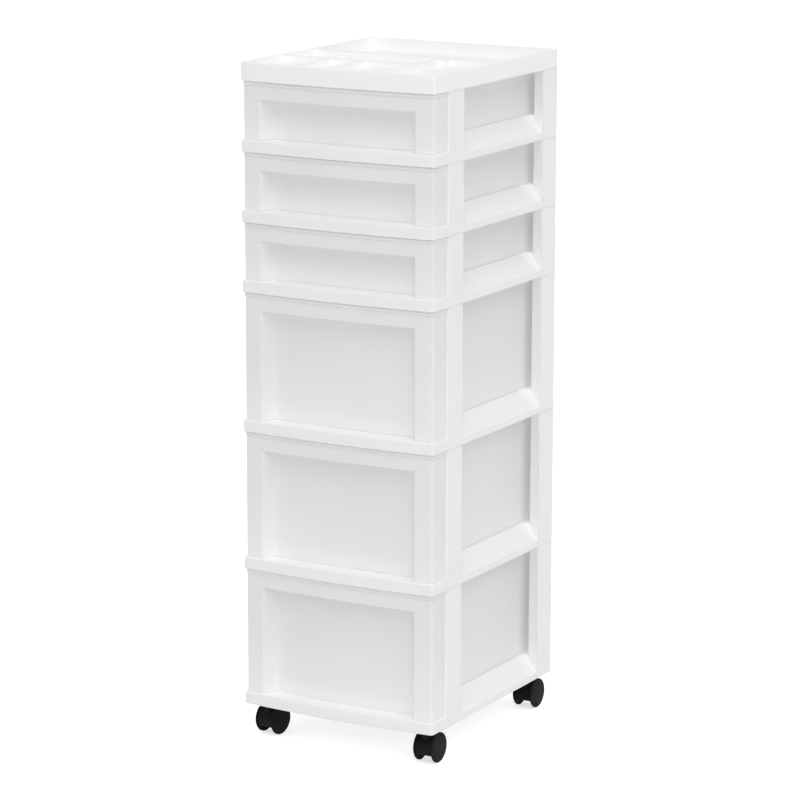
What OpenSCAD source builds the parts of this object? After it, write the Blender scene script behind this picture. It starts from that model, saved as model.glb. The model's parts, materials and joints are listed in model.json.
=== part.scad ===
// Rolling drawer tower: six stacked open frames with pull-out drawers, a
// compartment tray on top and four twin-wheel casters underneath.
// X runs to the right, -Y is the front, Z is up. The origin is on the floor,
// under the middle of the overall footprint. All lengths are in millimetres.

/* [Overall] */
// Width across the lips and the top rim
width = 306; // [280:1:340]
// Front corners to back face
depth = 358; // [330:1:400]
// How far the middle of the front stands ahead of its corners
bow = 7; // [3:0.5:10]
// Plan radius of the outer corners
corner_r = 5; // [3:0.5:8]

/* [Units] */
// Stacking height of a shallow unit
shallow_h = 98; // [90:1:130]
// Stacking height of a deep unit
deep_h = 198; // [160:1:240]

/* [Frames] */
// Height of the front lip, up to the deck that the drawer runs on
lip_h = 17; // [15:0.5:20]
// Rounding of the lip's top edge
lip_round = 2; // [1:0.25:2.5]
// Thickness of the deck
deck_t = 3; // [2:0.25:4]
// Wall thickness of the frames
frame_wall = 2.5; // [2:0.1:3.2]
// How far a post leans in from its base to its top
post_draft = 1; // [0.5:0.1:1.5]
// Front corner to the front face of the front post
head_len = 41; // [34:0.5:50]
// Width of the front post, along Y
front_post_w = 42; // [34:0.5:52]
// Depth of the front post, along X
post_d = 19; // [17:0.5:21]
// Width of the rear post, along Y
rear_post_w = 46.5; // [36:0.5:56]
// Width of the rear post's back face, along X
rear_post_back = 40; // [30:0.5:50]
// Height of the upright band below the sloped side rail
rail_band_h = 8.5; // [6:0.5:10]
// Height of the side rail's inner edge
rail_h = 34; // [28:0.5:38]
// Length at the rear over which the rail narrows to the rear post
rail_turn = 20; // [12:1:30]
// Thickness of the ribs under the deck
rib_t = 2; // [1.5:0.25:3]
// Height of the locating tongues on the posts
tongue_h = 6; // [4:0.5:6.5]

/* [Drawers] */
// Wall thickness of the drawers
drawer_wall = 2; // [1.6:0.1:2.5]
// Half width of the drawer body between the side rails
body_half_w = 125.5; // [110:0.5:126]
// Setback of the drawer face behind the lip's edge
face_setback = 4; // [2:0.5:6]
// Side gap between the drawer head and the lip's side face
head_side_gap = 2.5; // [1:0.5:4]
// Free space behind the closed drawer
rear_space = 14.5; // [8:0.5:30]
// Inward lean of the drawer's rear wall, as a slope
rear_slope = 0.025; // [0.01:0.005:0.05]
// Inward lean of the drawer's side walls, as a slope
side_slope = 0.01; // [0.005:0.001:0.02]
// Plan radius of the drawer's rear corners
rear_r = 4; // [3:0.5:20]
// Gap between the drawer head's skirt and the lip
skirt_gap = 0.4; // [0.4:0.1:1]
// Gap under the drawer's floor, taken up by its runners
floor_gap = 3; // [2:0.25:5]
// Height of the bead along the drawer's top edge
bead_h = 5; // [3:0.5:8]
// How far the bead stands proud
bead_out = 0.8; // [0.4:0.1:1.2]
// Width of the stiffening flange around the drawer body
flange_w = 2.5; // [1:0.25:3]
// Thickness of that flange
flange_t = 2.5; // [2:0.25:4]
// Width of a floor runner
runner_w = 6; // [4:0.5:12]
// Distance of each floor runner from the middle
runner_x = 96; // [40:1:104]
// Length of the stop ears at the rear corners, along Y
ear_len = 10; // [6:0.5:20]
// How far a stop ear overlaps the post that stops it
ear_catch = 2; // [1:0.25:2.5]

/* [Drawer fronts] */
// Height of the rail above the hand recess, from the unit above
top_rail_h = 25; // [20:0.5:32]
// Width of the stiles beside the recess
stile_w = 29; // [22:0.5:40]
// Depth of the hand recess
recess_d = 21.5; // [14:0.5:26]
// Width over which the recess wall turns from the stile to the panel
recess_turn = 14; // [8:0.5:20]

/* [Organizer top] */
// Height of the rim
rim_h = 26; // [24:0.5:34]
// Rounding of the rim's top edge
rim_round = 2; // [1:0.25:3]
// Wall thickness at the rim
rim_wall = 3; // [2.4:0.2:4]
// Thickness of the dividers
divider_t = 3; // [2:0.25:4]
// Thickness of the long divider that runs front to back
spine_t = 4; // [3:0.5:8]
// How far the dividers stay below the rim
divider_drop = 2; // [0:0.5:4]
// Depth of the rear compartment
rear_pocket_d = 17; // [12:0.5:17]
// Depth of the right-hand compartment
right_pocket_d = 12; // [8:0.5:16]
// Depth of the small compartments
small_pocket_d = 10; // [6:0.5:16]
// Thickness of the compartment floors
pocket_floor = 2.5; // [2:0.25:3]
// Y of the divider in front of the rear compartment
rear_divider_y = 20; // [-20:1:60]
// Y of the divider behind the small compartments
mid_divider_y = -65; // [-110:1:-40]
// X of the long divider
spine_x = 57; // [30:1:100]
// X of the left one of the two short dividers
short_divider_left_x = -73; // [-100:1:-50]
// X of the right one of the two short dividers
short_divider_right_x = -20; // [-30:1:10]
// Width of the step beside the rear end of the long divider
step_w = 11; // [6:0.5:20]
// Length of that step, along Y
step_len = 12; // [6:0.5:30]

/* [Casters] */
// Floor to the underside of the lowest frame
caster_h = 50; // [49:0.5:60]
// Wheel radius
wheel_r = 21.5; // [18:0.5:22]
// Thickness of one wheel's disc
wheel_w = 3.5; // [3:0.25:6]
// Length of each wheel's hub inside the hood
hub_len = 4; // [3:0.25:5]
// Overall width across both wheels
caster_w = 32; // [26:0.5:36]
// Depth of the fine ring in each wheel's face
ring_depth = 0.5; // [0.3:0.1:0.8]
// Distance of the wheel axle behind the swivel axis
trail = 7; // [6.5:0.25:8.5]
// Radius of the stem
stem_r = 4; // [3.5:0.25:4.5]
// Radius of the collar between the stem and the frame
collar_r = 7; // [6:0.25:8]
// Radius of the axle
axle_r = 2.5; // [2:0.25:3]
// Outer radius of the stem socket in the lowest frame
socket_r = 9; // [8:0.25:11]
// Distance of the swivel axes from the side faces
caster_side_inset = 24; // [21:0.5:40]
// Distance of the front swivel axes from the front corners
caster_front_inset = 29.5; // [20:0.5:32]
// Distance of the rear swivel axes from the back face
caster_rear_inset = 33; // [20:0.5:60]
// Turn of the front left caster about its stem, in degrees
caster_turn = -7; // [-20:1:20]

/* [Clearances] */
// Gap between a drawer and what stands above or behind it
drawer_gap = 1; // [0.75:0.25:2.5]
// Gap between a runner and the deck that carries it
seat_gap = 0.3; // [0.2:0.05:0.5]
// Side gap between the drawer body and each side rail
guide_gap = 1; // [0.75:0.25:3]
// Gap around the locating tongues
tongue_gap = 0.4; // [0.2:0.1:1]
// Radial gap of the swivel and wheel bearings
bearing_gap = 0.05; // [0.02:0.01:0.1]
// Radial gap of pins that don't turn
pin_gap = 0.02; // [0.01:0.01:0.05]
// Gap between a wheel and the hood beside it
wheel_gap = 0.8; // [0.4:0.1:1]
// Gap between the hood and the stem's collar
collar_gap = 0.3; // [0.2:0.05:0.6]

/* [Hidden] */

WHITE = [0.93, 0.93, 0.92];
FROSTED = [0.86, 0.86, 0.85];
BLACK = [0.06, 0.06, 0.06];
STEEL = [0.72, 0.73, 0.75];

// A cut runs this far past the faces that it opens
cut = 1;
// Thickness of the slices that a hull is stretched over
skin = 0.01;
// Segments of a rounded plan corner and of the bowed front
corner_steps = 6;
front_steps = 16;
turn_steps = 12;
pin_fn = 48;
wheel_fn = 96;

half_w = width / 2;
front_y = -(depth + bow) / 2 + bow;
back_y = (depth + bow) / 2;

// Units from the top down: height and underside of each
unit_heights = [shallow_h, shallow_h, shallow_h, deep_h, deep_h, deep_h];
function height_below(i) = i > 5 ? 0 : unit_heights[i] + height_below(i + 1);
function unit_z(i) = caster_h + height_below(i + 1);
rim_z = caster_h + height_below(0);

// Frame stations
post_front_y = front_y + head_len;
post_rear_y = post_front_y + front_post_w;
rear_post_y = back_y - rear_post_w;
rail_in_x = body_half_w + guide_gap;
post_in_x = half_w - post_draft - post_d;
rail_end_x = post_in_x + 3;
// The side rails run on this far behind the rear posts' front edges
rail_overlap = 6;
// Side web of the rear post: its inner edge, and how far it slants back to it
web_in_x = post_in_x + 4;
web_slant = 3.5;
front_post_r = 3;
// Upright thickness of the wall on the rail's slope
slope_wall = 1.4 * frame_wall;
// Free length of a post's top at each end of its tongue
tongue_end = 6;
rib_h = 6;
rib_places = [-90, -45, 0, 45, 90];

// Drawer stations
head_half_w = half_w - head_side_gap;
face_y = front_y + face_setback;
head_back_y = post_front_y - drawer_gap;
drawer_back_y = back_y - rear_space;
recess_back_y = face_y + recess_d;
runner_front_y = recess_back_y + 5;
// The recess's wall has turned by this much where the stile's width is measured
turn_lead = recess_turn / 7;

// The step beside the long divider stays this far below it
step_drop = 1.6;

// Caster stations
hood_half_w = caster_w / 2 - wheel_w - wheel_gap;
caster_x = half_w - caster_side_inset;
caster_front_y = front_y + caster_front_inset;
caster_rear_y = back_y - caster_rear_inset;
// The hood is this much smaller in radius than the wheels
hood_inset = 1.5;
hood_r = wheel_r - hood_inset;
hood_top = caster_h - 2.5;
// Height of the hood's flat underside ahead of the axle, and behind it
hood_front_z = 0.6 * wheel_r;
hood_rear_z = wheel_r - hood_inset;
hood_rear_y = trail + axle_r + 6;
neck_r = collar_r + 2;
// Lower end of the stem, clear of the axle, and of the blind bore around it
stem_low = wheel_r + axle_r + 2;
bore_low = stem_low - 0.5;
// Material of the wheel's face that covers the axle's end, and the gap there
axle_cover = 1.2;
end_gap = 0.1;
// Wheel section: radius of the hub, rim width, ring line, edges, dome and hollow
hub_r = axle_r + 2.5;
wheel_rim = 2.5;
ring_r = wheel_r - 3;
ring_half_w = 0.5;
wheel_edge = 0.8;
wheel_dome = 0.7;
wheel_hollow = 1.2;

// Y of the bowed front curve that passes the corners at y
function bowed(x, y) = y - bow * (1 - pow(x / half_w, 2));

function arc(cx, cy, r, from, to, steps) = [
    for (i = [0 : steps])
        let (a = from + (to - from) * i / steps)
        [cx + r * cos(a), cy + r * sin(a)]
];

// Plan outline with a bowed front between rounded corners
function bowed_plan(hw, y_front, y_back, r_front, r_back) =
    let (x = hw - r_front, y = bowed(x, y_front) + r_front)
    concat(
        arc(-x, y, r_front, 180, 270, corner_steps),
        [for (i = [1 : front_steps - 1])
            let (u = -x + 2 * x * i / front_steps)
            [u, bowed(u, y_front)]],
        arc(x, y, r_front, 270, 360, corner_steps),
        arc(hw - r_back, y_back - r_back, r_back, 0, 90, corner_steps),
        arc(-hw + r_back, y_back - r_back, r_back, 90, 180, corner_steps));

module slab(z, h) {
    translate([0, 0, z]) linear_extrude(h) children();
}

module both_sides() {
    children();
    mirror([1, 0, 0]) children();
}

// Outline of the frames and of the rim, set in from the outer face
module shell_plan(inset) {
    r = max(corner_r - inset, 1);
    polygon(bowed_plan(half_w - inset, front_y + inset, back_y - inset, r, r));
}

// Block with the outer outline and a rounded top edge
module rounded_block(h, edge_r) {
    hull() {
        slab(0, skin) shell_plan(0);
        for (a = [0, 30, 60, 90])
            slab(h - edge_r + edge_r * sin(a) - skin, skin) shell_plan(edge_r * (1 - cos(a)));
    }
}

// ---------------------------------------------------------------- frames

// Section of the space above the sloped rail, in X and Z
function slope_cut(top_x) = [
    [half_w - post_draft, rail_band_h],
    [half_w + 2 * cut, rail_band_h],
    [half_w + 2 * cut, rail_h + cut],
    [top_x - cut * (half_w - top_x) / (rail_h - rail_band_h), rail_h + cut]
];

module along_y(from, to) {
    translate([0, to, 0]) rotate([90, 0, 0]) linear_extrude(to - from) children();
}

// Inner edge of the rail's top at t, from 0 where it turns to 1 at the rear post
function turn_x(t) = rail_in_x + (rail_end_x - rail_in_x) * t * t;

// Space above the rail: even along the window, narrower near the rear post
module rail_slope_space() {
    steps = 3;
    turn_y = rear_post_y - rail_turn;
    along_y(post_rear_y, turn_y) polygon(slope_cut(rail_in_x));
    for (i = [1 : steps])
        hull() {
            along_y(turn_y + rail_turn * (i - 1) / steps - skin, turn_y + rail_turn * (i - 1) / steps)
                polygon(slope_cut(turn_x((i - 1) / steps)));
            along_y(turn_y + rail_turn * i / steps, turn_y + rail_turn * i / steps + skin)
                polygon(slope_cut(turn_x(i / steps)));
        }
}

// Hollow under the sloped rail, one wall thickness inside it
module rail_hollow() {
    along_y(post_rear_y + frame_wall, rear_post_y - rail_turn)
        polygon([
            [rail_in_x + frame_wall, -cut],
            [half_w - frame_wall, -cut],
            [half_w - frame_wall, rail_band_h - slope_wall],
            [rail_in_x + frame_wall, rail_h - slope_wall - frame_wall]
        ]);
}

// Plan of the hollow under the deck: it leaves the side rails to their own hollow
module under_deck_plan() {
    difference() {
        shell_plan(frame_wall);
        both_sides() translate([rail_in_x, post_rear_y - frame_wall])
            square([half_w, rear_post_y + rail_overlap - post_rear_y + frame_wall]);
    }
}

module front_post_plan() {
    r = front_post_r;
    difference() {
        polygon(concat(
            [[post_in_x, post_front_y]],
            arc(half_w - r, post_front_y + r, r, 270, 360, corner_steps),
            [[half_w, post_rear_y], [post_in_x, post_rear_y]]));
        translate([post_in_x - cut, post_front_y + frame_wall])
            square([post_d + post_draft - frame_wall + cut, front_post_w - 2 * frame_wall]);
    }
}

module rear_post_plan() {
    wall = frame_wall;
    r = corner_r;
    inner_r = r - wall;
    polygon(concat(
        [[web_in_x, rear_post_y + web_slant], [half_w, rear_post_y]],
        arc(half_w - r, back_y - r, r, 0, 90, corner_steps),
        [[half_w - rear_post_back, back_y],
         [half_w - rear_post_back, back_y - wall]],
        arc(half_w - r, back_y - r, inner_r, 90, 0, corner_steps),
        [[half_w - wall, rear_post_y + 1 + wall],
         [web_in_x, rear_post_y + web_slant + wall]]));
}

// Tongue that locates the unit above: it fits inside that unit's skirt
module tongue(from_y, to_y) {
    inset = max(frame_wall, rim_wall) + tongue_gap;
    x = web_in_x + 1;
    translate([x, from_y, 0])
        cube([half_w - inset - x, to_y - from_y, tongue_h + deck_t]);
}

// Everything of a unit that stands on its deck
module posts(h) {
    cap_z = h - deck_t;
    both_sides() {
        linear_extrude(h) front_post_plan();
        linear_extrude(h) rear_post_plan();
        translate([post_in_x, post_front_y, cap_z])
            cube([post_d - frame_wall, front_post_w, deck_t]);
        translate([web_in_x, rear_post_y + web_slant, cap_z])
            cube([half_w - post_draft - frame_wall - web_in_x,
                rear_post_w - web_slant - frame_wall - post_draft, deck_t]);
        translate([0, 0, cap_z]) {
            tongue(post_front_y + tongue_end, post_rear_y - tongue_end);
            tongue(rear_post_y + 2 * tongue_end, back_y - 2 * tongue_end);
        }
    }
    // back rail between the rear posts
    translate([-half_w + corner_r, back_y - frame_wall, 0])
        cube([width - 2 * corner_r, frame_wall, rail_h]);
}

// Lean of the posts' outer faces, and of the back
module draft_space(h) {
    lean = [[0, lip_h], [cut, lip_h], [cut, h], [-post_draft, h]];
    both_sides() translate([half_w, 0, 0])
        along_y(front_y - bow - cut, back_y + cut) polygon(lean);
    translate([0, back_y, 0]) rotate([90, 0, 90])
        translate([0, 0, -half_w - cut]) linear_extrude(width + 2 * cut) polygon(lean);
}

module deck_ribs() {
    low = lip_h - deck_t - rib_h;
    for (x = rib_places)
        translate([x - rib_t / 2, front_y, low])
            cube([rib_t, depth - frame_wall / 2, rib_h + deck_t / 2]);
    for (y = [post_front_y, (post_front_y + rear_post_y) / 2, rear_post_y])
        translate([-rail_in_x, y - rib_t / 2, low])
            cube([2 * rail_in_x, rib_t, rib_h + deck_t / 2]);
}

// Ribs just above the rim of the drawer below: they keep it level when it
// is pulled out, and the rear one stands over its closed rear wall
module hold_down_ribs() {
    x = body_half_w - rib_t;
    y = head_back_y - rib_t;
    high = lip_h - deck_t / 2;
    both_sides() {
        translate([x, y, 0]) cube([rib_t, drawer_back_y - y, high]);
        translate([x, y, 0]) cube([half_w - frame_wall / 2 - x, rib_t, high]);
    }
    translate([-body_half_w, drawer_back_y - rib_t, 0])
        cube([2 * body_half_w, rib_t, high]);
}

module frame_unit(h) {
    difference() {
        union() {
            difference() {
                union() {
                    rounded_block(lip_h, lip_round);
                    both_sides() translate([rail_in_x, post_front_y + 1, 0])
                        cube([half_w - rail_in_x, back_y - corner_r - post_front_y - 1, rail_h]);
                }
                both_sides() rail_slope_space();
                both_sides() rail_hollow();
                // the rail stops at the posts' outer faces
                both_sides() translate([half_w - frame_wall - 1, rear_post_y + rail_overlap, lip_h])
                    cube([1, rear_post_w, rail_h]);
                slab(-cut, lip_h - deck_t + cut) under_deck_plan();
            }
            posts(h);
            deck_ribs();
            hold_down_ribs();
        }
        draft_space(h);
    }
}

module frame(i) {
    color(WHITE) translate([0, 0, unit_z(i)]) frame_unit(unit_heights[i]);
}

// Sockets under the deck of the lowest frame, one for each caster stem
module socket_bosses() {
    for (p = caster_places)
        translate([p[0], p[1], 0]) cylinder(r = socket_r, h = lip_h - 1, $fn = pin_fn);
}

module socket_bores() {
    for (p = caster_places)
        translate([p[0], p[1], -cut])
            cylinder(r = stem_r + pin_gap, h = lip_h - deck_t + cut, $fn = pin_fn);
}

module base_frame() {
    color(WHITE) translate([0, 0, caster_h]) difference() {
        union() {
            frame_unit(unit_heights[5]);
            socket_bosses();
        }
        socket_bores();
    }
}

// --------------------------------------------------------------- drawers

// Walls of the drawer head without its floor
module head_walls_plan() {
    difference() {
        head_plan(0);
        recess_plan(0);
        difference() {
            head_plan(drawer_wall);
            recess_plan(drawer_wall);
        }
    }
}

module head_plan(inset) {
    r = max(corner_r - inset, 1);
    polygon(bowed_plan(head_half_w - inset, face_y + inset, head_back_y - inset, r, 1));
}

module body_plan(inset, drop) {
    hw = body_half_w - inset - side_slope * drop;
    r = rear_r - inset;
    y = drawer_back_y - inset - rear_slope * drop;
    polygon(concat(
        [[-hw, recess_back_y], [hw, recess_back_y]],
        arc(hw - r, y - r, r, 0, 90, corner_steps),
        arc(-hw + r, y - r, r, 90, 180, corner_steps)));
}

// Body that leans in towards its floor
module body(inset, from, to, high) {
    hull() {
        slab(from, skin) body_plan(inset, high - from);
        slab(to - skin, skin) body_plan(inset, high - to);
    }
}

// Hand recess: a soft step from each stile back to the bowed panel
module recess_plan(grow) {
    out_x = head_half_w - stile_w + turn_lead;
    in_x = out_x - recess_turn;
    function side(t) =
        let (x = out_x - recess_turn * t)
        [x + grow, bowed(x, face_y) + recess_d * (1 - cos(180 * t)) / 2 + grow];
    right = [for (i = [0 : turn_steps]) side(i / turn_steps)];
    panel = [for (i = [1 : front_steps - 1])
        let (x = in_x - 2 * in_x * i / front_steps)
        [x, bowed(x, face_y) + recess_d + grow]];
    left = [for (i = [turn_steps : -1 : 0]) [-right[i][0], right[i][1]]];
    front = front_y - bow - cut;
    polygon(concat([[out_x + grow, front]], right, panel, left, [[-out_x - grow, front]]));
}

module drawer(i) {
    h = unit_heights[i];
    low = lip_h + floor_gap;
    high = h - drawer_gap;
    recess_top = h - top_rail_h;
    ear_x = post_in_x + ear_catch;
    floor_back_y = drawer_back_y - rear_slope * (high - low) - rear_r;
    color(FROSTED) translate([0, 0, unit_z(i)]) difference() {
        union() {
            slab(low, high - low) head_plan(0);
            slab(lip_h + skirt_gap, floor_gap) head_walls_plan();
            body(0, low, high, high);
            slab(high - bead_h, bead_h) head_plan(-bead_out);
            slab(high - flange_t, flange_t) body_plan(-flange_w, 0);
            both_sides() translate([body_half_w - 1, drawer_back_y - rear_r - ear_len, high - flange_t])
                cube([ear_x - body_half_w + 1, ear_len, flange_t]);
            both_sides() translate([runner_x - runner_w / 2, runner_front_y, lip_h + seat_gap])
                cube([runner_w, floor_back_y - runner_front_y, floor_gap]);
        }
        slab(low - cut, recess_top - low + cut) recess_plan(0);
        difference() {
            union() {
                slab(low + drawer_wall, high) head_plan(drawer_wall);
                body(drawer_wall, low + drawer_wall, high + cut, high);
            }
            slab(low, recess_top + drawer_wall - low) recess_plan(drawer_wall);
        }
    }
}

// --------------------------------------------------------- organizer top

module pocket(from, to, pocket_d) {
    translate([0, 0, rim_h - pocket_d]) linear_extrude(pocket_d + cut) intersection() {
        shell_plan(rim_wall);
        translate(from) square(to - from);
    }
}

module organizer_top() {
    t = divider_t / 2;
    left = -half_w;
    right = half_w;
    spine_left = spine_x - spine_t / 2;
    spine_right = spine_x + spine_t / 2;
    front = front_y - bow;
    mid_front = mid_divider_y + t;
    short_left = short_divider_left_x;
    short_right = short_divider_right_x;
    inner_floor = rim_h - rear_pocket_d - pocket_floor;
    color(WHITE) translate([0, 0, rim_z]) difference() {
        rounded_block(rim_h, rim_round);
        slab(rim_h - divider_drop, rim_h) shell_plan(rim_wall);
        pocket([left, rear_divider_y + t], [right, back_y], rear_pocket_d);
        difference() {
            pocket([spine_right, front], [right, rear_divider_y - t], right_pocket_d);
            translate([spine_right - cut, rear_divider_y - t - step_len, 0])
                cube([step_w + cut, step_len + cut, rim_h - divider_drop - step_drop]);
        }
        pocket([left, mid_front], [spine_left, rear_divider_y - t], small_pocket_d);
        pocket([left, front], [short_left - t, mid_divider_y - t], small_pocket_d);
        pocket([short_left + t, front], [short_right - t, mid_divider_y - t], small_pocket_d);
        pocket([short_right + t, front], [spine_left, mid_divider_y - t], small_pocket_d);
        // underside: open below the floors, which stay one thickness
        slab(-cut, inner_floor + cut) shell_plan(rim_wall);
        slab(-cut, rim_h - small_pocket_d - pocket_floor + cut) intersection() {
            shell_plan(rim_wall + divider_t);
            translate([left, front]) square([spine_left - left, rear_divider_y - t - front]);
        }
        slab(-cut, rim_h - right_pocket_d - pocket_floor + cut) intersection() {
            shell_plan(rim_wall + divider_t);
            translate([spine_right, front]) square([right - spine_right, rear_divider_y - t - front]);
        }
    }
}

// --------------------------------------------------------------- casters

// X, Y and turn of each caster
caster_places = [
    [-caster_x, caster_front_y, caster_turn],
    [caster_x, caster_front_y, 0],
    [-caster_x, caster_rear_y, 0],
    [caster_x, caster_rear_y, 0]
];

module at_stem(place) {
    translate([place[0], place[1], 0]) rotate([0, 0, place[2]]) children();
}

module at_axle(place) {
    at_stem(place) translate([0, trail, wheel_r]) rotate([0, 90, 0]) children();
}

module caster_stem(place) {
    color(STEEL) translate([place[0], place[1], 0]) {
        translate([0, 0, stem_low])
            cylinder(r = stem_r, h = caster_h + lip_h - deck_t - stem_low, $fn = pin_fn);
        translate([0, 0, hood_top + collar_gap])
            cylinder(r = collar_r, h = caster_h - hood_top - collar_gap, $fn = pin_fn);
    }
}

module caster_hood(place) {
    color(BLACK) difference() {
        union() {
            at_axle(place) translate([0, 0, -hood_half_w])
                cylinder(r = hood_r, h = 2 * hood_half_w, $fn = wheel_fn);
            at_stem(place) intersection() {
                translate([0, 0, wheel_r])
                    cylinder(r = neck_r, h = hood_top - wheel_r, $fn = pin_fn);
                translate([-hood_half_w, -neck_r, 0])
                    cube([2 * hood_half_w, 2 * neck_r, caster_h]);
            }
        }
        // flat underside, and open under the rear of the axle
        at_stem(place) translate([-caster_w, -2 * wheel_r, -cut])
            cube([2 * caster_w, 4 * wheel_r, hood_front_z + cut]);
        at_stem(place) translate([-caster_w, hood_rear_y, -cut])
            cube([2 * caster_w, 2 * wheel_r, hood_rear_z + cut]);
        at_stem(place) translate([0, 0, bore_low])
            cylinder(r = stem_r + bearing_gap, h = caster_h, $fn = pin_fn);
        at_axle(place) {
            translate([0, 0, -caster_w])
                cylinder(r = axle_r + pin_gap, h = 2 * caster_w, $fn = pin_fn);
            for (side = [0, 180])
                rotate([side, 0, 0]) translate([0, 0, hood_half_w - hub_len])
                    cylinder(r = hub_r + wheel_gap, h = caster_w, $fn = pin_fn);
        }
    }
}

module caster_axle(place) {
    length = caster_w - 2 * axle_cover;
    color(STEEL) at_axle(place) translate([0, 0, -length / 2])
        cylinder(r = axle_r, h = length, $fn = pin_fn);
}

// Half section of a wheel: radius and distance from the inner face
module wheel_section() {
    bore_r = axle_r + bearing_gap;
    bore_end = wheel_w - axle_cover + end_gap;
    rim_in = wheel_r - wheel_rim;
    face = wheel_w - wheel_dome;
    polygon([
        [bore_r, -hub_len], [hub_r, -hub_len], [hub_r, wheel_hollow], [rim_in, wheel_hollow], [rim_in, 0],
        [wheel_r - wheel_edge, 0], [wheel_r, wheel_edge], [wheel_r, face - wheel_edge],
        [wheel_r - wheel_edge, face], [ring_r + ring_half_w, face], [ring_r, face - ring_depth],
        [ring_r - ring_half_w, face], [0.6 * wheel_r, wheel_w - 0.35 * wheel_dome],
        [0, wheel_w], [0, bore_end], [bore_r, bore_end]
    ]);
}

// side is 1 for the right wheel and -1 for the left one
module caster_wheel(place, side) {
    flip = side > 0 ? 0 : 180;
    color(BLACK) at_axle(place) rotate([flip, 0, 0])
        translate([0, 0, caster_w / 2 - wheel_w])
            rotate_extrude($fn = wheel_fn) wheel_section();
}

organizer_top();
frame(0);  // frame_1
frame(1);  // frame_2
frame(2);  // frame_3
frame(3);  // frame_4
frame(4);  // frame_5
base_frame();  // frame_6
drawer(0);  // drawer_1
drawer(1);  // drawer_2
drawer(2);  // drawer_3
drawer(3);  // drawer_4
drawer(4);  // drawer_5
drawer(5);  // drawer_6
caster_stem(caster_places[0]);  // caster_fl_stem
caster_hood(caster_places[0]);  // caster_fl_hood
caster_axle(caster_places[0]);  // caster_fl_axle
caster_wheel(caster_places[0], -1);  // caster_fl_wheel_l
caster_wheel(caster_places[0], 1);  // caster_fl_wheel_r
caster_stem(caster_places[1]);  // caster_fr_stem
caster_hood(caster_places[1]);  // caster_fr_hood
caster_axle(caster_places[1]);  // caster_fr_axle
caster_wheel(caster_places[1], -1);  // caster_fr_wheel_l
caster_wheel(caster_places[1], 1);  // caster_fr_wheel_r
caster_stem(caster_places[2]);  // caster_bl_stem
caster_hood(caster_places[2]);  // caster_bl_hood
caster_axle(caster_places[2]);  // caster_bl_axle
caster_wheel(caster_places[2], -1);  // caster_bl_wheel_l
caster_wheel(caster_places[2], 1);  // caster_bl_wheel_r
caster_stem(caster_places[3]);  // caster_br_stem
caster_hood(caster_places[3]);  // caster_br_hood
caster_axle(caster_places[3]);  // caster_br_axle
caster_wheel(caster_places[3], -1);  // caster_br_wheel_l
caster_wheel(caster_places[3], 1);  // caster_br_wheel_r
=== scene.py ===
import bpy
import json
import math
from mathutils import Matrix, Vector

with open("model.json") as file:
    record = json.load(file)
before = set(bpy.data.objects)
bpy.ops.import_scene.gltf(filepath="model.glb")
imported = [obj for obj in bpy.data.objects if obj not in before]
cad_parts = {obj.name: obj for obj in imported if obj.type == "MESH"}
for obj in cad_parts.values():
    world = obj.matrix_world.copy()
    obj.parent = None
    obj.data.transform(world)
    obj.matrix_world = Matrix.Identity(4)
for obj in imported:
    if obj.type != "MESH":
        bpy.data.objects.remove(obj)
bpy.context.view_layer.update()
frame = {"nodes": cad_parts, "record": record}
nodes = frame["nodes"]
scene = bpy.context.scene

# ------------------------------------------------------------------ camera

AZIMUTH = math.radians(29.763)
ELEVATION = math.radians(12.294)
ROLL = math.radians(0.122)
DISTANCE = 4.89979
TARGET = Vector((0, 0, 0.484))
FOCAL_PX = 3457.622
IMAGE_PX = 800
CONTENT_RIGHT_PX = -0.192
CONTENT_UP_PX = 6.812
SENSOR_MM = 36
CLIP_START = 0.1
CLIP_END = 100


def make_camera():
    back = Vector((
        math.sin(AZIMUTH) * math.cos(ELEVATION),
        -math.cos(AZIMUTH) * math.cos(ELEVATION),
        math.sin(ELEVATION),
    ))
    right = (-back).cross(Vector((0, 0, 1))).normalized()
    up = right.cross(-back)
    x = math.cos(ROLL) * right + math.sin(ROLL) * up
    y = -math.sin(ROLL) * right + math.cos(ROLL) * up
    camera = bpy.data.objects.new("camera", bpy.data.cameras.new("camera"))
    scene.collection.objects.link(camera)
    turn = Matrix((x, y, back)).transposed().to_4x4()
    camera.matrix_world = Matrix.Translation(TARGET + back * DISTANCE) @ turn
    camera.data.sensor_width = SENSOR_MM
    camera.data.lens = FOCAL_PX * SENSOR_MM / IMAGE_PX
    camera.data.shift_x = -CONTENT_RIGHT_PX / IMAGE_PX
    camera.data.shift_y = -CONTENT_UP_PX / IMAGE_PX
    camera.data.clip_start = CLIP_START
    camera.data.clip_end = CLIP_END
    scene.camera = camera


# --------------------------------------------------------------- materials

# The share of light that passes the wall, and the strength of a painted glow that lightens
# corners and gaps
WHITE_MILK_AND_PAINTED_GLOW = {"share": 0.08, "painted_glow": 0.13}
FROSTED_MILK_AND_PAINTED_GLOW = {"share": 0.15, "painted_glow": 0.12}
# Painted shade of the frosted drawers: their colour at the top as a factor of the colour at
# the foot
FROSTED_PAINTED_TOP_SHADE = 0.955
# Reach and samples of the occlusion that drives the painted glow in corners and gaps
PAINTED_GLOW_REACH = 0.03
PAINTED_GLOW_SAMPLES = 4
EDGE_SAMPLES = 6
# The painted shade of a piece, darker towards its top, runs from its foot to its top between
# these heights
SHADE_FROM = 0.05
SHADE_TO = 0.5
# Noise values between which a spread runs from its low to its high end
NOISE_LOW = 0.35
NOISE_HIGH = 0.65


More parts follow.
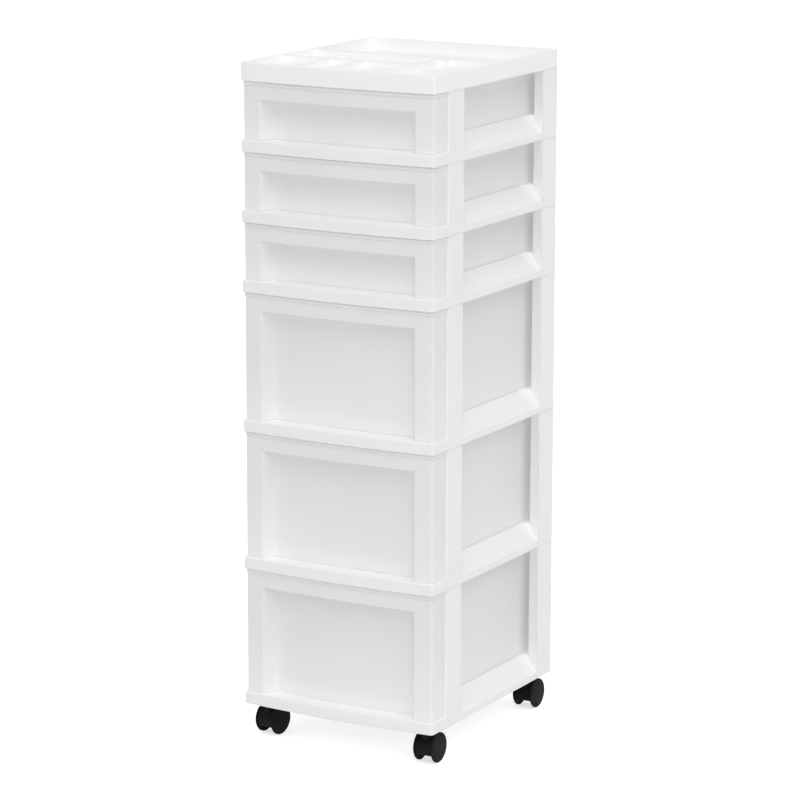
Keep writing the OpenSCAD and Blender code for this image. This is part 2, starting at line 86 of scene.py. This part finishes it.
class Tree:
    """Short form for building a node tree."""

    def __init__(self, tree):
        self.tree = tree
        self.tree.nodes.clear()

    def node(self, kind, **values):
        made = self.tree.nodes.new(kind)
        for key, value in values.items():
            setattr(made, key, value)
        return made

    def link(self, source, target):
        self.tree.links.new(source, target)

    def noise(self, coordinate, scale, detail=2.0):
        made = self.node("ShaderNodeTexNoise")
        made.inputs["Scale"].default_value = scale
        made.inputs["Detail"].default_value = detail
        self.link(coordinate, made.inputs["Vector"])
        return made.outputs["Fac"]

    def spread(self, value, low, high, from_low=NOISE_LOW, from_high=NOISE_HIGH):
        made = self.node("ShaderNodeMapRange")
        made.inputs["From Min"].default_value = from_low
        made.inputs["From Max"].default_value = from_high
        made.inputs["To Min"].default_value = low
        made.inputs["To Max"].default_value = high
        self.link(value, made.inputs["Value"])
        return made.outputs["Result"]

    def mix(self, factor, first, second):
        made = self.node("ShaderNodeMix", data_type="RGBA")
        made.inputs["A"].default_value = (*first, 1)
        made.inputs["B"].default_value = (*second, 1)
        self.link(factor, made.inputs["Factor"])
        return made.outputs["Result"]

    def multiply(self, first, second):
        made = self.node("ShaderNodeMix", data_type="RGBA", blend_type="MULTIPLY")
        made.inputs["Factor"].default_value = 1
        self.link(first, made.inputs["A"])
        self.link(second, made.inputs["B"])
        return made.outputs["Result"]

    def add(self, first, second):
        made = self.node("ShaderNodeAddShader")
        self.link(first, made.inputs[0])
        self.link(second, made.inputs[1])
        return made.outputs["Shader"]

    def bump(self, height, distance, normal):
        made = self.node("ShaderNodeBump")
        made.inputs["Distance"].default_value = distance
        self.link(height, made.inputs["Height"])
        self.link(normal, made.inputs["Normal"])
        return made.outputs["Normal"]


def new_material(name):
    material = bpy.data.materials.new(name)
    material.use_nodes = True
    return material, Tree(material.node_tree)


def with_painted_shade(t, place, colour, top):
    """The colour with painted shade, darkening by the factor top from a piece's foot upwards.
    """
    height = t.node("ShaderNodeSeparateXYZ")
    t.link(place.outputs["Generated"], height.inputs["Vector"])
    rise = t.spread(height.outputs["Z"], 0, 1, SHADE_FROM, SHADE_TO)
    return t.multiply(colour, t.mix(rise, (1, 1, 1), (top, top, top)))


def translucent_with_painted_glow(t, colour, surface, share, painted_glow):
    """The surface, with light that passes the wall, and a painted glow in its corners and
    gaps.
    """
    passing = t.node("ShaderNodeBsdfTranslucent")
    t.link(colour, passing.inputs["Color"])
    both = t.node("ShaderNodeMixShader")
    both.inputs["Fac"].default_value = share
    t.link(surface, both.inputs[1])
    t.link(passing.outputs["BSDF"], both.inputs[2])
    # painted glow: an emission in the plastic's own colour, strongest where nearby parts
    # close in, lightens its corners and gaps
    nearby = t.node("ShaderNodeAmbientOcclusion", samples=PAINTED_GLOW_SAMPLES)
    nearby.inputs["Distance"].default_value = PAINTED_GLOW_REACH
    glow = t.node("ShaderNodeEmission")
    t.link(colour, glow.inputs["Color"])
    t.link(t.spread(nearby.outputs["AO"], painted_glow, 0, 0, 1), glow.inputs["Strength"])
    return t.add(both.outputs["Shader"], glow.outputs["Emission"])


def moulded(name, dark, light, rough, edge, grain, depth,
            flow=6.0, milk_and_painted_glow=None, top=None, **sockets):
    """Plastic or plated steel: soft mottling, an even fine grain and broken edges."""
    material, t = new_material(name)
    place = t.node("ShaderNodeTexCoord")
    shader = t.node("ShaderNodeBsdfPrincipled")
    output = t.node("ShaderNodeOutputMaterial")
    cloud = t.noise(place.outputs["Object"], flow, 3.0)
    colour = t.mix(t.spread(cloud, 0, 1), dark, light)
    fine = t.noise(place.outputs["Object"], grain)
    t.link(t.spread(fine, *rough), shader.inputs["Roughness"])
    edges = t.node("ShaderNodeBevel", samples=EDGE_SAMPLES)
    edges.inputs["Radius"].default_value = edge
    t.link(t.bump(fine, depth, edges.outputs["Normal"]), shader.inputs["Normal"])
    for key, value in sockets.items():
        shader.inputs[key.replace("_", " ")].default_value = value
    surface = shader.outputs["BSDF"]
    # painted shade: the colour darkens towards the top of the piece
    if top:
        colour = with_painted_shade(t, place, colour, top)
    # light that passes the wall, plus a painted glow in corners and gaps
    if milk_and_painted_glow:
        surface = translucent_with_painted_glow(t, colour, surface, **milk_and_painted_glow)
    t.link(colour, shader.inputs["Base Color"])
    t.link(surface, output.inputs["Surface"])
    return material


def make_materials():
    return {
        "white_plastic": moulded(
            "white_polypropylene", (0.895, 0.896, 0.896), (0.91, 0.91, 0.909),
            rough=(0.34, 0.42), edge=0.0016, grain=700, depth=0.00003,
            milk_and_painted_glow=WHITE_MILK_AND_PAINTED_GLOW, IOR=1.49),
        "tray_plastic": moulded(
            "bright_white_polypropylene", (0.935, 0.936, 0.936), (0.95, 0.95, 0.949),
            rough=(0.34, 0.42), edge=0.0016, grain=700, depth=0.00003,
            milk_and_painted_glow=WHITE_MILK_AND_PAINTED_GLOW, IOR=1.49),
        "frosted_plastic": moulded(
            "frosted_polypropylene", (0.89, 0.892, 0.892), (0.915, 0.915, 0.915),
            rough=(0.40, 0.50), edge=0.0014, grain=900, depth=0.00004,
            milk_and_painted_glow=FROSTED_MILK_AND_PAINTED_GLOW, top=FROSTED_PAINTED_TOP_SHADE, IOR=1.49),
        "hood_plastic": moulded(
            "black_nylon_hood", (0.005, 0.005, 0.0055), (0.007, 0.007, 0.0075),
            rough=(0.42, 0.52), edge=0.0008, grain=1500, depth=0.00005,
            flow=40, IOR=1.5, Specular_IOR_Level=0.08),
        "wheel_plastic": moulded(
            "black_nylon_wheel", (0.014, 0.0142, 0.015), (0.018, 0.0183, 0.0195),
            rough=(0.36, 0.46), edge=0.0006, grain=1500, depth=0.00004,
            flow=60, IOR=1.5, Specular_IOR_Level=0.02),
        "steel": moulded(
            "zinc_plated_steel", (0.60, 0.61, 0.63), (0.70, 0.71, 0.73),
            rough=(0.28, 0.40), edge=0.0003, grain=2500, depth=0.00002,
            flow=120, Metallic=1.0),
    }


# ---------------------------------------------------------- floor and light

FLOOR_HALF_SIZE = 30
FLOOR_HEIGHT = -0.0005
FLOOR_CLOUDS = 2.0
FLOOR_GLOW = 0.62
WORLD_LIGHT = 0.61
WORLD_SEEN = 1.0


def seen_directly(t):
    """1 for camera, glossy and transmission rays, else 0."""
    path = t.node("ShaderNodeLightPath")
    first = t.node("ShaderNodeMath", operation="MAXIMUM")
    second = t.node("ShaderNodeMath", operation="MAXIMUM")
    t.link(path.outputs["Is Camera Ray"], first.inputs[0])
    t.link(path.outputs["Is Glossy Ray"], first.inputs[1])
    t.link(first.outputs["Value"], second.inputs[0])
    t.link(path.outputs["Is Transmission Ray"], second.inputs[1])
    return second.outputs["Value"]


def make_floor():
    size = FLOOR_HALF_SIZE
    mesh = bpy.data.meshes.new("floor")
    mesh.from_pydata(
        [(-size, -size, 0), (size, -size, 0), (size, size, 0), (-size, size, 0)],
        [], [(0, 1, 2, 3)])
    floor = bpy.data.objects.new("floor", mesh)
    floor.location.z = FLOOR_HEIGHT
    scene.collection.objects.link(floor)
    material, t = new_material("studio_floor")
    place = t.node("ShaderNodeTexCoord").outputs["Object"]
    diffuse = t.node("ShaderNodeBsdfDiffuse")
    cloud = t.spread(t.noise(place, FLOOR_CLOUDS), 0, 1)
    t.link(t.mix(cloud, (0.80, 0.80, 0.80), (0.82, 0.82, 0.82)), diffuse.inputs["Color"])
    glow = t.node("ShaderNodeEmission")
    lift = t.node("ShaderNodeMath", operation="MULTIPLY")
    lift.inputs[1].default_value = FLOOR_GLOW
    t.link(seen_directly(t), lift.inputs[0])
    t.link(lift.outputs["Value"], glow.inputs["Strength"])
    output = t.node("ShaderNodeOutputMaterial")
    t.link(t.add(diffuse.outputs["BSDF"], glow.outputs["Emission"]), output.inputs["Surface"])
    mesh.materials.append(material)


def make_world():
    """Even light from all around, which is white where it is seen directly."""
    world = bpy.data.worlds.new("studio")
    world.use_nodes = True
    scene.world = world
    t = Tree(world.node_tree)
    background = t.node("ShaderNodeBackground")
    background.inputs["Color"].default_value = (1, 1, 1, 1)
    level = t.node("ShaderNodeMapRange")
    level.inputs["To Min"].default_value = WORLD_LIGHT
    level.inputs["To Max"].default_value = WORLD_SEEN
    t.link(seen_directly(t), level.inputs["Value"])
    t.link(level.outputs["Result"], background.inputs["Strength"])
    output = t.node("ShaderNodeOutputWorld")
    t.link(background.outputs["Background"], output.inputs["Surface"])


def place_lamp(name, data, turn):
    lamp = bpy.data.objects.new(name, data)
    lamp.rotation_mode = "QUATERNION"
    lamp.rotation_quaternion = turn
    scene.collection.objects.link(lamp)
    return lamp


def wide_sun(name, source, spread, power):
    """Soft light from one side of the studio, even over the whole height."""
    data = bpy.data.lights.new(name, "SUN")
    data.energy = power
    data.angle = math.radians(spread)
    place_lamp(name, data, Vector(source).to_track_quat("Z", "Y"))


def wide_panel(name, place, size, power):
    """Tall soft box that fades from the right of the tower to the left."""
    data = bpy.data.lights.new(name, "AREA")
    data.energy = power
    data.shape = "RECTANGLE"
    data.size, data.size_y = size
    aim = Vector((0, 0, place[2])) - Vector(place)
    lamp = place_lamp(name, data, aim.to_track_quat("-Z", "Y"))
    lamp.location = place
    lamp.visible_camera = False


def make_light():
    make_world()
    wide_sun("key_light", source=(0.5, -0.55, 1.0), spread=60, power=1.2)
    wide_panel("right_light", place=(1.5, -1.7, 0.45), size=(0.8, 2.4), power=3)


# ---------------------------------------------------------------- assembly

scene.view_settings.view_transform = "Standard"
make_camera()
materials = make_materials()
slots = {s["node"]: s["material_slot"] for s in frame["record"]["subparts"]}
slots["organizer_top"] = "tray_plastic"
for name, piece in nodes.items():
    piece.data.materials.clear()
    piece.data.materials.append(materials[slots[name]])
make_floor()
make_light()
